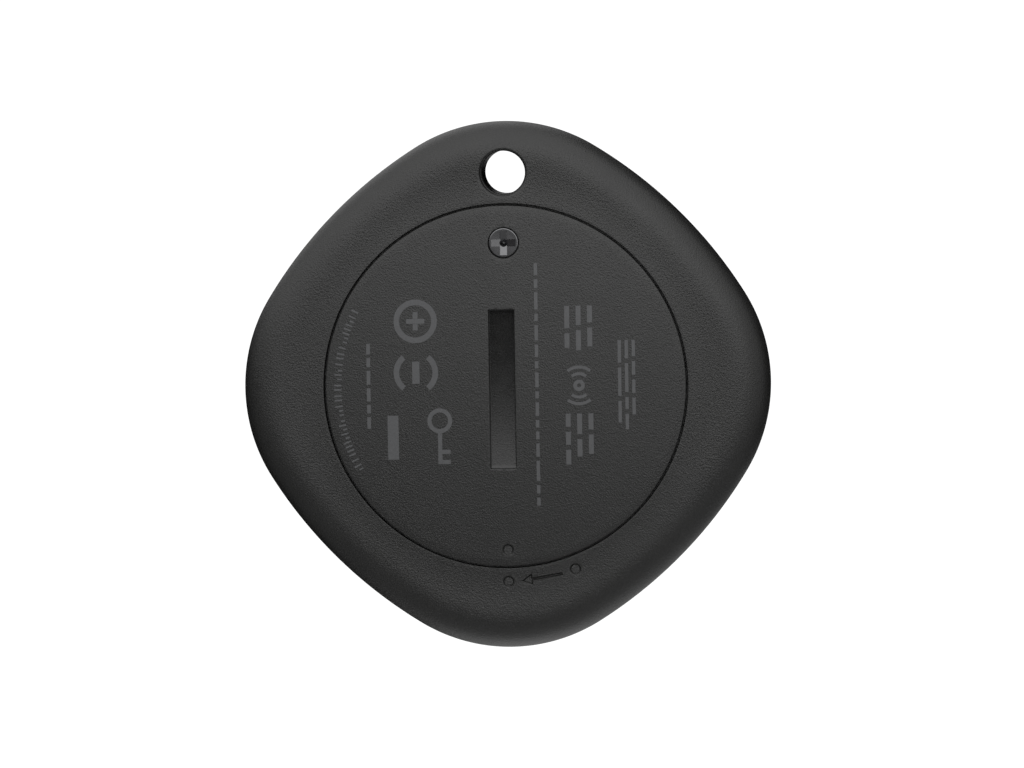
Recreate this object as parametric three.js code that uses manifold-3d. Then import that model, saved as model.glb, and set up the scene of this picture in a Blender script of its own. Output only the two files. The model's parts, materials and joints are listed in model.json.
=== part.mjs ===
// A key-finder tag: a flat rounded-diamond housing with a lanyard hole, a coin cell under a slightly
// domed coin-turn battery cover, and a locking screw. Millimetres, +Z up: the tag lies on its front
// face at z = 0, the battery cover looks up, and the lanyard hole is towards +Y.
import * as THREE from "three";
import { mergeVertices } from "three/addons/utils/BufferGeometryUtils.js";
import Module from "manifold-3d";

const wasm = await Module();
wasm.setup();

// ---- Driving dimensions ------------------------------------------------------------------------

const THICKNESS = 8; // front face to the top of the domed rear face
const DOME = { r: 15, slope: 0.1, flare: 2.5 }; // slope at r, from where the dome flares out to the rim
const HALF_SPAN = 21.62; // centre to a corner of the rounded diamond
const HALF_WIDTH = 20.02; // centre to the middle of a side
const CORNER_R = 14; // plan radius of the four corners
const SEAM_Z = 3.6; // where the front and rear shells meet, at the widest section
const EDGE_INSET = 3.6; // how far in from the silhouette the faces turn flat
const EDGE_POWER = 2.8; // superellipse power of the rounded edge

const CELL = { r: 10, height: 3.2, z: 3.14 };
const COVER = { r: 14.74, underside: 6.45, skirtIn: 13.05, skirtOut: 13.7, skirtZ: 4.15 };
const OPENING_R = 14.92; // the cover's opening in the rear face
const BORE_R = 14.35; // bore under the cover's seat, sealed by the ring
const NECK_R = 15.35; // outside of the wall round that bore
const SLOT = { x: -0.25, y: -0.25, width: 2.1, length: 13, depth: 1, endDepth: 0.65 };
const BAYONET = { turn: 20, rise: 0.3, lugHalf: 8, lugOut: 14.2, ledgeIn: 13.8, top: 5.6, gap: 0.05 };
const LUG_ANGLES = [30, 150, 270];
const SCREW = { y: 11.7, headR: 1.2, headTop: 7.44, headZ: 6.94, shankR: 0.7, tip: 3.45 };
const HOLE = { y: 17.43, rearR: 1.88, tubeR: 1.77, tubeOut: 2.5, tubeTop: 6 };
const MARK = { r: 16.03, dotR: 0.45, depth: 0.18, coverR: 13.4 };
const TRAY = { floor: 2.77, floorTop: 3.12, r: 12.95, wallIn: 10.15, wallOut: 10.65, wallTop: 6 };
const BOARD = { z: 2.15, top: 2.75, inset: 2.6 };
const EAR_R = 17.3; // distance of the tray screws from the centre
const EAR_ANGLES = [0, 180, 270];
const SOUNDER_FLOOR = 1.2; // inside of the front face

const RING = 56; // segments of the outline and of the large circles
const FINE = 20; // segments of the small circles
const REACH = 1; // how far a cutter runs past the face that it opens

// Height of the rear face at a distance from the centre: a dome, then a flare out to a flat rim.
function rearZ(r) {
  const out = Math.min(Math.max(r - DOME.r, 0), DOME.flare);
  const dome = (DOME.slope * Math.min(r, DOME.r) ** 2) / (2 * DOME.r);
  return THICKNESS - dome - DOME.slope * (out - out ** 2 / (2 * DOME.flare));
}

const RIM_Z = rearZ(DOME.r + DOME.flare);

// ---- Solids ------------------------------------------------------------------------------------

const rad = THREE.MathUtils.degToRad;

function solid(geometry) {
  const bare = geometry.clone();
  bare.deleteAttribute("normal");
  bare.deleteAttribute("uv");
  const merged = mergeVertices(bare, 1e-4);
  const mesh = new wasm.Mesh({
    numProp: 3,
    vertProperties: merged.attributes.position.array,
    triVerts: new Uint32Array(merged.index.array),
  });
  return new wasm.Manifold(mesh);
}

// A cylinder standing on z0, centred on x, y.
function disc(r, z0, z1, x = 0, y = 0, segments = RING) {
  const geometry = new THREE.CylinderGeometry(r, r, z1 - z0, segments);
  return solid(geometry.rotateX(Math.PI / 2).translate(x, y, (z0 + z1) / 2));
}

// A closed profile of [radius, z] points, given clockwise from the top of the axis, turned about Z.
function turned(profile, x = 0, y = 0, segments = RING) {
  const points = profile.map(([r, z]) => new THREE.Vector2(r, z)).reverse();
  const geometry = new THREE.LatheGeometry(points, segments);
  return solid(geometry.rotateX(Math.PI / 2).translate(x, y, 0));
}

// A flat ring between two radii.
function ring(inner, outer, z0, z1, x = 0, y = 0, segments = RING) {
  const section = [
    [inner, z1],
    [outer, z1],
    [outer, z0],
    [inner, z0],
    [inner, z1],
  ];
  return turned(section, x, y, segments);
}

function shapeOf(points) {
  return new THREE.Shape(points.map(([x, y]) => new THREE.Vector2(x, y)));
}

// An outline in plan, extruded from z0 to z1.
function plate(points, z0, z1) {
  const geometry = new THREE.ExtrudeGeometry(shapeOf(points), { depth: z1 - z0, bevelEnabled: false });
  return solid(geometry.translate(0, 0, z0));
}

// An outline of [x, z] points, extruded along Y over a width centred on y.
function strip(points, width, y = 0) {
  const geometry = new THREE.ExtrudeGeometry(shapeOf(points), { depth: width, bevelEnabled: false });
  return solid(geometry.rotateX(Math.PI / 2).translate(0, y + width / 2, 0));
}

function box(x0, x1, y0, y1, z0, z1) {
  const geometry = new THREE.BoxGeometry(x1 - x0, y1 - y0, z1 - z0);
  return solid(geometry.translate((x0 + x1) / 2, (y0 + y1) / 2, (z0 + z1) / 2));
}

// Triangles that join loops of equal count into one closed body, with a flat cap on the first and last.
function joinRings(rings) {
  const count = rings[0].length;
  const positions = rings.flat(2);
  const index = [];
  for (let i = 0; i < rings.length - 1; i++) {
    const a = i * count;
    const b = a + count;
    for (let j = 0; j < count; j++) {
      const k = (j + 1) % count;
      index.push(a + j, a + k, b + k, a + j, b + k, b + j);
    }
  }
  const last = (rings.length - 1) * count;
  for (let j = 1; j < count - 1; j++) {
    index.push(0, j + 1, j, last, last + j, last + j + 1);
  }
  const geometry = new THREE.BufferGeometry();
  geometry.setAttribute("position", new THREE.Float32BufferAttribute(positions, 3));
  geometry.setIndex(index);
  return solid(geometry);
}

// A ring sector between two angles in degrees, whose floor and roof may climb with the angle.
function sector(inner, outer, from, to, floor, roof) {
  const steps = Math.ceil((to - from) / (360 / RING));
  const rings = [];
  for (let i = 0; i <= steps; i++) {
    const degrees = from + ((to - from) * i) / steps;
    const [c, s] = [Math.cos(rad(degrees)), Math.sin(rad(degrees))];
    const low = typeof floor === "function" ? floor(degrees) : floor;
    const high = typeof roof === "function" ? roof(degrees) : roof;
    rings.push([
      [inner * c, inner * s, low],
      [inner * c, inner * s, high],
      [outer * c, outer * s, high],
      [outer * c, outer * s, low],
    ]);
  }
  return joinRings(rings);
}

// ---- The housing's outline ---------------------------------------------------------------------

// Four corner arcs on the axes, tangent to four long side arcs whose centres lie across the middle.
const cornerAt = HALF_SPAN - CORNER_R;
const bulge = HALF_WIDTH - CORNER_R;
const sideAt = (cornerAt ** 2 - bulge ** 2) / (2 * bulge - Math.SQRT2 * cornerAt);
const SIDE_R = HALF_WIDTH + sideAt;
const sideOffset = sideAt / Math.SQRT2;
const cornerHalfAngle = Math.atan2(sideOffset, cornerAt + sideOffset);

// The outline's point whose outward normal has this angle, moved inwards by inset.
function outlinePoint(angle, inset) {
  const quarter = Math.floor(angle / (Math.PI / 2));
  const local = angle - (quarter * Math.PI) / 2;
  let centre = new THREE.Vector2(-sideOffset, -sideOffset);
  let r = SIDE_R;
  if (local < cornerHalfAngle) {
    centre = new THREE.Vector2(cornerAt, 0);
    r = CORNER_R;
  } else if (local > Math.PI / 2 - cornerHalfAngle) {
    centre = new THREE.Vector2(0, cornerAt);
    r = CORNER_R;
  }
  const reach = new THREE.Vector2(Math.cos(local), Math.sin(local)).multiplyScalar(r - inset);
  return centre.add(reach).rotateAround(new THREE.Vector2(), (quarter * Math.PI) / 2);
}

// One section of the outline, moved in by inset, at the height z or at z(distance from the centre).
function outlineRing([inset, z]) {
  return Array.from({ length: RING }, (_, i) => {
    const p = outlinePoint((i * 2 * Math.PI) / RING, inset);
    return [p.x, p.y, typeof z === "function" ? z(p.length()) : z];
  });
}

// A body whose sections are the outline. Rows are [inset, z], upwards.
function loft(rows) {
  return joinRings(rows.map(outlineRing));
}

function circleRing(r, z) {
  return Array.from({ length: RING }, (_, i) => {
    const angle = (i * 2 * Math.PI) / RING;
    return [r * Math.cos(angle), r * Math.sin(angle), z];
  });
}

// Rows of the rounded edge, from the silhouette to the face: [inset, share of the height reached].
function edgeRows(steps) {
  return Array.from({ length: steps + 1 }, (_, i) => {
    const angle = ((i / steps) * Math.PI) / 2;
    const run = Math.max(Math.cos(angle), 0) ** (2 / EDGE_POWER);
    return [EDGE_INSET * (1 - run), Math.sin(angle) ** (2 / EDGE_POWER)];
  });
}

function lanyardBore(r, z0, z1) {
  return disc(r, z0, z1, 0, HOLE.y, FINE);
}

const earPoints = EAR_ANGLES.map((a) => [EAR_R * Math.cos(rad(a)), EAR_R * Math.sin(rad(a))]);

// ---- Shells ------------------------------------------------------------------------------------

const TONGUE = { outer: 1, inner: 1.7, top: 4.4 };

function frontShell() {
  const outside = edgeRows(6).map(([inset, share]) => [inset, SEAM_Z * (1 - share)]);
  const cavity = [
    [4.8, SOUNDER_FLOOR],
    [3.4, 1.4],
    [2.3, 2],
    [1.75, 2.7],
    [TONGUE.inner, 3.1],
    [TONGUE.inner, SEAM_Z + REACH],
  ];
  const tongue = loft([[TONGUE.outer, 2.9], [TONGUE.outer, TONGUE.top]]).subtract(
    loft([[TONGUE.inner, 2], [TONGUE.inner, TONGUE.top + REACH]]),
  );
  let shell = loft(outside.reverse()).subtract(loft(cavity)).add(tongue);
  shell = shell.add(lanyardBore(HOLE.tubeOut, 1, HOLE.tubeTop));
  shell = shell.subtract(lanyardBore(HOLE.tubeR, -REACH, HOLE.tubeTop + REACH));
  const ledge = BOARD.z - 0.02;
  for (const [x, y] of earPoints) {
    shell = shell.add(disc(1.5, 1, ledge, x, y, FINE));
    shell = shell.subtract(disc(0.62, 1.3, ledge + REACH, x, y, FINE));
  }
  for (const [x, y] of [[1, 1], [1, -1], [-1, 1], [-1, -1]]) {
    shell = shell.add(disc(0.8, 1, ledge, 11.5 * x, 11.5 * y, FINE));
  }
  return shell.add(ring(8.1, 8.7, 1, 1.6));
}

// How far the helical bayonet faces have climbed at an angle measured from the middle of a lug.
function climb(fromLug) {
  return (BAYONET.rise / BAYONET.turn) * (fromLug + BAYONET.lugHalf);
}

// A ledge that holds one lug down, its stop at the locked end and its stop past the notch.
function bayonetLedge(lugAngle) {
  const { turn, lugHalf, ledgeIn, top, gap } = BAYONET;
  const start = lugAngle - lugHalf - 0.3;
  const notch = lugAngle + turn - lugHalf - 0.3;
  const notchEnd = lugAngle + turn + lugHalf + 0.3;
  const rootR = BORE_R + 0.3; // runs into the neck wall
  const under = (degrees) => top - 0.5 + gap + climb(degrees - lugAngle);
  const roof = sector(ledgeIn, rootR, start, notch, under, top);
  const lockedStop = sector(ledgeIn, rootR, start - 2.5, start, COVER.skirtZ, top);
  const openStop = sector(ledgeIn, rootR, notchEnd, notchEnd + 2.2, COVER.skirtZ, top);
  return roof.add(lockedStop).add(openStop);
}

function markDot(r, degrees) {
  const [x, y] = [r * Math.cos(rad(degrees)), r * Math.sin(rad(degrees))];
  return disc(MARK.dotR, rearZ(r) - MARK.depth, THICKNESS + REACH, x, y, 12);
}

// The engraved arrow, which runs clockwise from the open mark to the locked mark.
function markArrow() {
  const head = 0.85;
  const length = 3.4;
  const half = 0.16;
  const arrow = [
    [0, 0],
    [head, 0.42],
    [head, half],
    [length, half],
    [length, -half],
    [head, -half],
    [head, -0.42],
  ];
  const tip = rad(-86.2);
  const lean = rad(9.5); // the chord's slope between its two ends
  const placed = arrow.map(([x, y]) =>
    new THREE.Vector2(x, y)
      .rotateAround(new THREE.Vector2(), lean)
      .add(new THREE.Vector2(MARK.r * Math.cos(tip), MARK.r * Math.sin(tip)))
      .toArray(),
  );
  return plate(placed, rearZ(MARK.r) - MARK.depth, THICKNESS + REACH);
}

function rearShell() {
  const seam = SEAM_Z + 0.03;
  const edge = edgeRows(7).map(([inset, share]) => [inset, (r) => seam + (rearZ(r) - seam) * share]);
  const face = [15.7, 14.5].map((r) => circleRing(r, rearZ(r)));
  const skin = joinRings([...edge.map(outlineRing), ...face]);
  const shelf = TONGUE.top + 0.05;
  const cavity = [
    [TONGUE.outer - 0.05, seam - REACH],
    [TONGUE.outer - 0.05, shelf],
    [TONGUE.inner, shelf + 0.01],
    [1.75, 4.9],
    [2.2, 5.5],
    [3.2, RIM_Z - 1.27],
    [4.6, RIM_Z - 1.2],
  ];
  const boss = lanyardBore(3.1, shelf + 0.05, RIM_Z - 0.5).intersect(skin);
  const neck = disc(NECK_R, COVER.skirtZ - 0.15, RIM_Z - 0.2);
  let shell = skin.subtract(loft(cavity)).add(neck).add(boss);
  shell = shell.subtract(disc(BORE_R, seam - REACH, THICKNESS + REACH));
  shell = shell.subtract(disc(OPENING_R, COVER.underside - 0.05, THICKNESS + REACH));
  for (const angle of LUG_ANGLES) {
    shell = shell.add(bayonetLedge(angle));
  }
  shell = shell.subtract(lanyardBore(HOLE.rearR, seam - REACH, THICKNESS + REACH));
  shell = shell.subtract(lanyardBore(HOLE.tubeOut + 0.05, seam - REACH, HOLE.tubeTop + 0.05));
  shell = shell.subtract(markDot(MARK.r, -90)).subtract(markDot(MARK.r, -90 + BAYONET.turn));
  return shell.subtract(markArrow());
}

// ---- Battery cover, its seal and its screw -----------------------------------------------------

// A coin-shaped groove along Y: an arc floor between two short end walls.
function coinSlot() {
  const half = SLOT.length / 2;
  const lowest = THICKNESS - SLOT.depth;
  const dip = rearZ(half) - SLOT.endDepth - lowest;
  const r = (half ** 2 + dip ** 2) / (2 * dip);
  const floor = [];
  for (let i = 0; i <= 12; i++) {
    const y = -half + (SLOT.length * i) / 12;
    floor.push([y, lowest + r - Math.sqrt(r ** 2 - y ** 2)]);
  }
  const side = [...floor, [half, THICKNESS + REACH], [-half, THICKNESS + REACH]];
  const geometry = new THREE.ExtrudeGeometry(shapeOf(side), { depth: SLOT.width, bevelEnabled: false });
  geometry.rotateX(Math.PI / 2).translate(0, SLOT.width / 2, 0).rotateZ(Math.PI / 2);
  return solid(geometry.translate(SLOT.x, SLOT.y, 0));
}

function batteryCover() {
  const edge = 0.1;
  const { r, underside, skirtIn, skirtOut, skirtZ } = COVER;
  const face = [0, 5, 9, 12, r - edge].map((at) => [at, rearZ(at)]);
  let cover = turned([
    ...face,
    [r, rearZ(r) - edge],
    [r, underside],
    [skirtOut, underside],
    [skirtOut, skirtZ],
    [skirtIn, skirtZ],
    [skirtIn, underside],
    [0, underside],
  ]);
  const { lugHalf, lugOut, top } = BAYONET;
  for (const angle of LUG_ANGLES) {
    const roof = (degrees) => top - 0.5 + climb(degrees - angle);
    cover = cover.add(sector(skirtOut - 0.2, lugOut, angle - lugHalf, angle + lugHalf, skirtZ, roof));
  }
  const headSeat = disc(SCREW.headR + 0.1, SCREW.headZ - 0.03, THICKNESS, 0, SCREW.y, FINE);
  const screwHole = disc(SCREW.shankR + 0.08, underside - REACH, THICKNESS, 0, SCREW.y, FINE);
  cover = cover.subtract(headSeat).subtract(screwHole);
  return cover.subtract(coinSlot()).subtract(markDot(MARK.coverR, -90));
}

// The sealing ring, squeezed between the cover's skirt and the bore.
function coverSeal() {
  const [inner, outer, low, high, round] = [13.74, 14.3, 5.65, 6.4, 0.16];
  return turned([
    [inner, high - round],
    [inner + round, high],
    [outer - round, high],
    [outer, high - round],
    [outer, low + round],
    [outer - round, low],
    [inner + round, low],
    [inner, low + round],
    [inner, high - round],
  ]);
}

// One arm pair of the cross recess: a tapered slot across the head.
function crossArm() {
  const depth = 0.62;
  const width = 0.6;
  const [topHalf, floorHalf] = [1, 0.5];
  const lift = 0.2;
  const flare = topHalf + ((topHalf - floorHalf) * lift) / depth;
  const side = [
    [-floorHalf, SCREW.headTop - depth],
    [floorHalf, SCREW.headTop - depth],
    [flare, SCREW.headTop + lift],
    [-flare, SCREW.headTop + lift],
  ];
  return strip(side, width);
}

function coverScrew() {
  const screw = turned(
    [
      [0, SCREW.headTop],
      [SCREW.headR - 0.08, SCREW.headTop],
      [SCREW.headR, SCREW.headTop - 0.08],
      [SCREW.headR, SCREW.headZ],
      [SCREW.shankR, SCREW.headZ],
      [SCREW.shankR, SCREW.tip + 0.35],
      [SCREW.shankR / 2, SCREW.tip],
      [0, SCREW.tip],
    ],
    0,
    0,
    FINE,
  );
  const recess = crossArm().add(crossArm().rotate([0, 0, 90]));
  return screw.subtract(recess).translate([0, SCREW.y, 0]);
}

function screwRetainer() {
  return ring(SCREW.shankR + 0.04, 1, 4.7, 5, 0, SCREW.y, FINE);
}

// ---- Battery tray, cell and contacts -----------------------------------------------------------

const POSITIVE_ANGLE = -45; // where the side contact meets the can

function batteryTray() {
  const screwAngle = 90;
  let tray = disc(TRAY.r, TRAY.floor, TRAY.floorTop);
  tray = tray.add(ring(TRAY.wallIn, TRAY.wallOut, TRAY.floor, TRAY.wallTop));
  tray = tray.add(sector(TRAY.wallIn, TRAY.r, screwAngle - 12, screwAngle + 32, TRAY.floor, 4.6));
  const arc = sector(10.94, 12.46, screwAngle - 4.2, screwAngle + BAYONET.turn + 4.2, 3.3, 6);
  tray = tray.subtract(arc).subtract(disc(4.5, 2, 5));
  const armTop = 3.8;
  for (const angle of EAR_ANGLES) {
    const arm = box(12, EAR_R, -1.5, 1.5, TRAY.floor, armTop).add(
      disc(1.6, TRAY.floor, armTop, EAR_R, 0, FINE),
    );
    const bored = arm.subtract(disc(0.75, 2, armTop + REACH, EAR_R, 0, FINE));
    tray = tray.add(bored.rotate([0, 0, angle]));
  }
  const window = box(9.8, 13.1, -1.7, 1.7, 2.7, 5.6).rotate([0, 0, POSITIVE_ANGLE]);
  return tray.subtract(window);
}

function cellCan() {
  const { r, z, height } = CELL;
  const top = z + height;
  const wall = 0.25;
  return turned([
    [0, top],
    [r - 0.3, top],
    [r, top - 0.3],
    [r, z + 0.35],
    [r - wall, z + 0.13],
    [9.38, z + 0.11],
    [9.38, z + 0.31],
    [r - wall, z + 0.46],
    [r - wall, top - wall],
    [0, top - wall],
  ]);
}

function cellGasket() {
  return ring(8.85, 9.33, CELL.z + 0.06, CELL.z + 0.8);
}

// The negative cap with the cell's contents behind it, as one body.
function cellCap() {
  const bottom = CELL.z;
  const inside = bottom + CELL.height - 0.3;
  return turned([
    [0, inside],
    [9.7, inside],
    [9.7, bottom + 0.85],
    [8.8, bottom + 0.85],
    [8.8, bottom + 0.15],
    [8.65, bottom],
    [0, bottom],
  ]);
}

// A strip of constant thickness that follows a polyline of [x, z] points.
function leaf(points, thickness, width) {
  const upper = points.map(([x, z], i) => {
    const before = points[Math.max(i - 1, 0)];
    const after = points[Math.min(i + 1, points.length - 1)];
    const along = new THREE.Vector2(after[0] - before[0], after[1] - before[1]).normalize();
    return [x - along.y * thickness, z + along.x * thickness];
  });
  return strip([...points, ...upper.reverse()], width);
}

function negativeContact() {
  const path = [
    [-3.8, 2.77],
    [-1.9, 2.77],
    [-0.6, 2.97],
    [0.6, 2.97],
    [1.9, 2.77],
    [3.8, 2.77],
  ];
  return leaf(path, 0.13, 2.4);
}

function positiveContact() {
  const path = [
    [10.5, 5.4],
    [10.4, 5.1],
    [10.08, 4.5],
    [10.4, 3.9],
    [10.5, 3.1],
    [10.75, 2.78],
    [12.3, 2.78],
  ];
  return leaf(path, 0.15, 2.8).rotate([0, 0, POSITIVE_ANGLE]);
}

function trayScrew([x, y]) {
  const headZ = 3.82;
  const head = [
    [0, headZ + 0.5],
    [0.85, headZ + 0.5],
    [1.25, headZ + 0.2],
    [1.25, headZ],
    [0.6, headZ],
    [0.6, 1.8],
    [0.25, 1.45],
    [0, 1.45],
  ];
  const recess = strip([[-0.5, headZ + 0.2], [0.5, headZ + 0.2], [0.5, headZ + 1], [-0.5, headZ + 1]], 0.3);
  const cross = recess.add(recess.rotate([0, 0, 90]));
  return turned(head, 0, 0, 16).subtract(cross).translate([x, y, 0]);
}

// ---- Circuit board and sounder -----------------------------------------------------------------

function circuitBoard() {
  let board = loft([[BOARD.inset, BOARD.z], [BOARD.inset, BOARD.top]]);
  board = board.subtract(lanyardBore(3.1, BOARD.z - REACH, BOARD.top + REACH));
  for (const [x, y] of earPoints) {
    board = board.subtract(disc(0.75, BOARD.z - REACH, BOARD.top + REACH, x, y, FINE));
  }
  return board;
}

// A rectangular component that hangs under the board, or stands on it where up is true.
function component(x, y, length, width, height, up = false) {
  const z = up ? BOARD.top + 0.02 : BOARD.z - 0.02 - height;
  return box(x - length / 2, x + length / 2, y - width / 2, y + width / 2, z, z + height);
}

// A spring finger from the board down to the sounder, which it meets near x at the height z.
function sounderSpring(x, y, z) {
  const boardZ = BOARD.z - 0.13;
  const path = [
    [x - 0.4, z + 0.15],
    [x - 0.1, z],
    [x + 0.3, z],
    [x + 1.1, boardZ],
    [x + 2, boardZ],
  ];
  return leaf(path, 0.1, 1).translate([0, y, 0]);
}

const ADHESIVE = { inner: 6.6, outer: 7.8, z: SOUNDER_FLOOR + 0.02, top: SOUNDER_FLOOR + 0.12 };
const DIAPHRAGM = { r: 7.9, z: ADHESIVE.top + 0.02, top: ADHESIVE.top + 0.17 };
const CERAMIC = { r: 5.8, z: DIAPHRAGM.top + 0.02, top: DIAPHRAGM.top + 0.13 };

// ---- Materials and assembly --------------------------------------------------------------------

function material(color, roughness, metalness) {
  return new THREE.MeshStandardMaterial({ color, roughness, metalness });
}

const housingBlack = material(0x363635, 0.5, 0);
const trayBlack = material(0x1c1c1e, 0.5, 0);
const sealRubber = material(0x161616, 0.9, 0);
const nylonWhite = material(0xd8d5c8, 0.5, 0);
const steel = material(0xb8b9bb, 0.3, 1);
const gasketGrey = material(0x6f7478, 0.6, 0);
const gold = material(0xd2a84a, 0.3, 1);
const boardGreen = material(0x0f2a1c, 0.4, 0);
const chipBlack = material(0x17171a, 0.55, 0);
const canSilver = material(0xc2c2c0, 0.25, 1);
const ceramicWhite = material(0xe4e0d6, 0.5, 0);
const ceramicTan = material(0xa98c66, 0.6, 0);
const brass = material(0xc9a24a, 0.3, 1);
const tapeGrey = material(0x8f9298, 0.8, 0);

const tag = new THREE.Group();

function add(name, made, finish) {
  const { vertProperties, triVerts } = made.getMesh();
  const geometry = new THREE.BufferGeometry();
  geometry.setAttribute("position", new THREE.BufferAttribute(vertProperties, 3));
  geometry.setIndex(new THREE.BufferAttribute(triVerts, 1));
  geometry.computeVertexNormals();
  const mesh = new THREE.Mesh(geometry, finish);
  mesh.name = name;
  tag.add(mesh);
}

add("front_shell", frontShell(), housingBlack);
add("rear_shell", rearShell(), housingBlack);
add("battery_cover", batteryCover(), housingBlack);
add("cover_seal", coverSeal(), sealRubber);
add("cover_screw", coverScrew(), steel);
add("screw_retainer", screwRetainer(), nylonWhite);
add("battery_tray", batteryTray(), trayBlack);
add("cell_can", cellCan(), steel);
add("cell_gasket", cellGasket(), gasketGrey);
add("cell_cap", cellCap(), steel);
add("positive_contact", positiveContact(), gold);
add("negative_contact", negativeContact(), gold);
earPoints.forEach((point, i) => add(`tray_screw_${i + 1}`, trayScrew(point), steel));
add("circuit_board", circuitBoard(), boardGreen);
add("bluetooth_chip", component(-10.8, -4, 4.4, 4.4, 0.65), chipBlack);
add("motion_sensor", component(-6.4, -11.6, 2, 2, 0.65), chipBlack);
add("main_crystal", component(-10.8, 0.6, 2, 1.6, 0.5), canSilver);
add("clock_crystal", component(-10, 5, 1.5, 3.2, 0.6), canSilver);
add("boost_inductor", component(10.6, -5, 3, 3, 0.65), ceramicTan);
add("chip_antenna", component(0, 16.6, 3.2, 1.6, 1, true).rotate([0, 0, -45]), ceramicWhite);
const capacitorPlaces = [
  [-7, -8.4],
  [-8.6, -8.4],
  [-10.2, -8.4],
  [-13.8, -1.4],
  [-13.8, 0.4],
  [10.6, -8.4],
];
capacitorPlaces.forEach(([x, y], i) => {
  add(`capacitor_${i + 1}`, component(x, y, 0.6, 1.1, 0.55), ceramicTan);
});
add("sounder_spring_1", sounderSpring(2.4, 1.5, CERAMIC.top + 0.03), gold);
add("sounder_spring_2", sounderSpring(5.8, -2.5, DIAPHRAGM.top + 0.03), gold);
add("sounder_adhesive", ring(ADHESIVE.inner, ADHESIVE.outer, ADHESIVE.z, ADHESIVE.top), tapeGrey);
add("sounder_diaphragm", disc(DIAPHRAGM.r, DIAPHRAGM.z, DIAPHRAGM.top), brass);
add("sounder_ceramic", disc(CERAMIC.r, CERAMIC.z, CERAMIC.top), ceramicWhite);

export default tag;
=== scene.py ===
"""The looks of a key-finder tag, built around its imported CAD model: camera, light, mouldings and finishes.

Shapes are drawn in millimetres in the CAD's own frame (+Z out of the rear face, +Y towards the lanyard
hole) and become metres when a piece is placed.
"""
import json
import math
import random

import bmesh
import bpy
from mathutils import Matrix, Vector


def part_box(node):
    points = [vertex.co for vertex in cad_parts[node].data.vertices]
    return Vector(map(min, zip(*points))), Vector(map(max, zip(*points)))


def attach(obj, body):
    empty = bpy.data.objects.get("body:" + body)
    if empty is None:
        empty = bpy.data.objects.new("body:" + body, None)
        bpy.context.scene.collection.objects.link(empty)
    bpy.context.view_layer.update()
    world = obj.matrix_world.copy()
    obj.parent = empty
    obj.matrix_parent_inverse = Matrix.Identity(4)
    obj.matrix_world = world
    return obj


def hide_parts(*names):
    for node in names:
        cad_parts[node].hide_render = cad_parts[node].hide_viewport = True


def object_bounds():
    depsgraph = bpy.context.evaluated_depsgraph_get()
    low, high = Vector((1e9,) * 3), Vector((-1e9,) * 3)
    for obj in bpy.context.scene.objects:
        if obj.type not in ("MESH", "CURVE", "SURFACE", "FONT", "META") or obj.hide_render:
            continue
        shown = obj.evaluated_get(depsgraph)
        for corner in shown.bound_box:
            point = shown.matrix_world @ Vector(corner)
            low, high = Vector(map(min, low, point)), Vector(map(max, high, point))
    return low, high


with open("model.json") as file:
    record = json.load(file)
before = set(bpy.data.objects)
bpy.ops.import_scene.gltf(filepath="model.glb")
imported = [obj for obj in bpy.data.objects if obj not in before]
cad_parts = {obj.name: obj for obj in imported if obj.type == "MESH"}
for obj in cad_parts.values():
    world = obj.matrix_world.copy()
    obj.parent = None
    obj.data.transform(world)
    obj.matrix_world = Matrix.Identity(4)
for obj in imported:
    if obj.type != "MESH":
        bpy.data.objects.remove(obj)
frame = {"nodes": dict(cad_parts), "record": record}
CAD_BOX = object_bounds()
MM = 0.001


def box_mm(node):
    low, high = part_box(node)
    return low / MM, high / MM


# ---- Sizes, in millimetres ---------------------------------------------------------------------

HALF_SPAN = CAD_BOX[1].x / MM  # centre to a corner of the rounded diamond
HALF_WIDTH = 20.02  # centre to the middle of a side
CORNER_R = 14
THICKNESS = CAD_BOX[1].z / MM
FRONT_SEAM = 3.6
REAR_SEAM = box_mm("rear_shell")[0].z
EDGE_INSET = 3.6  # how far in from the silhouette the faces turn flat
EDGE_HEIGHT = 3.5  # nominal height of the rounded edge, which spaces its rows of points
EDGE_POWER = 2.8
DOME_R, DOME_SLOPE, DOME_FLARE = 15, 0.1, 2.5

COVER_LOW, COVER_HIGH = box_mm("battery_cover")
COVER_R = COVER_HIGH.x
SKIRT_Z = COVER_LOW.z
UNDERSIDE, SKIRT_IN, SKIRT_OUT = 6.45, 13.05, 13.7
OPENING_R, BORE_R, NECK_R = COVER_R + 0.18, 14.35, 15.35
LUG_ANGLES, LUG_HALF, LUG_OUT = (30, 150, 270), 8, 14.2
TURN, RISE = 20, 0.3  # bayonet: degrees, and the lift over them
LEDGE_IN, LEDGE_TOP, LEDGE_THICK, LUG_PLAY = 13.8, 5.6, 0.45, 0.05

SCREW_LOW, SCREW_HIGH = box_mm("cover_screw")
SCREW_X, SCREW_Y = (SCREW_LOW.x + SCREW_HIGH.x) / 2, (SCREW_LOW.y + SCREW_HIGH.y) / 2
HEAD_R, HEAD_TOP, HEAD_Z, SHANK_R = (SCREW_HIGH.x - SCREW_LOW.x) / 2, SCREW_HIGH.z, 6.94, 0.7
HOLE_Y, HOLE_R = 17.43, 1.88  # the lanyard hole in the rear shell
TUBE_R, TUBE_OUT, TUBE_TOP = 1.77, 2.5, 6  # the front shell's tube, which lines the lanyard hole
SLOT_X, SLOT_Y, SLOT_W, SLOT_L, SLOT_DEPTH, SLOT_END_DEPTH = -0.25, -0.25, 2.1, 13, 1, 0.65
MARK_R, COVER_MARK_R = 16.03, 13.4  # from the centre to the marks on the rim and on the cover
DOT_R, MARK_DEPTH = 0.45, 0.18
SKIN, WALL = 1.2, 0.95  # thickness of the faces, and of the rear shell's edge at the seam
EARS = [(17.3, 0), (-17.3, 0), (0, -17.3)]  # where the three tray screws go
BOARD_REST = 2.13  # what the circuit board lies on

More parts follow.
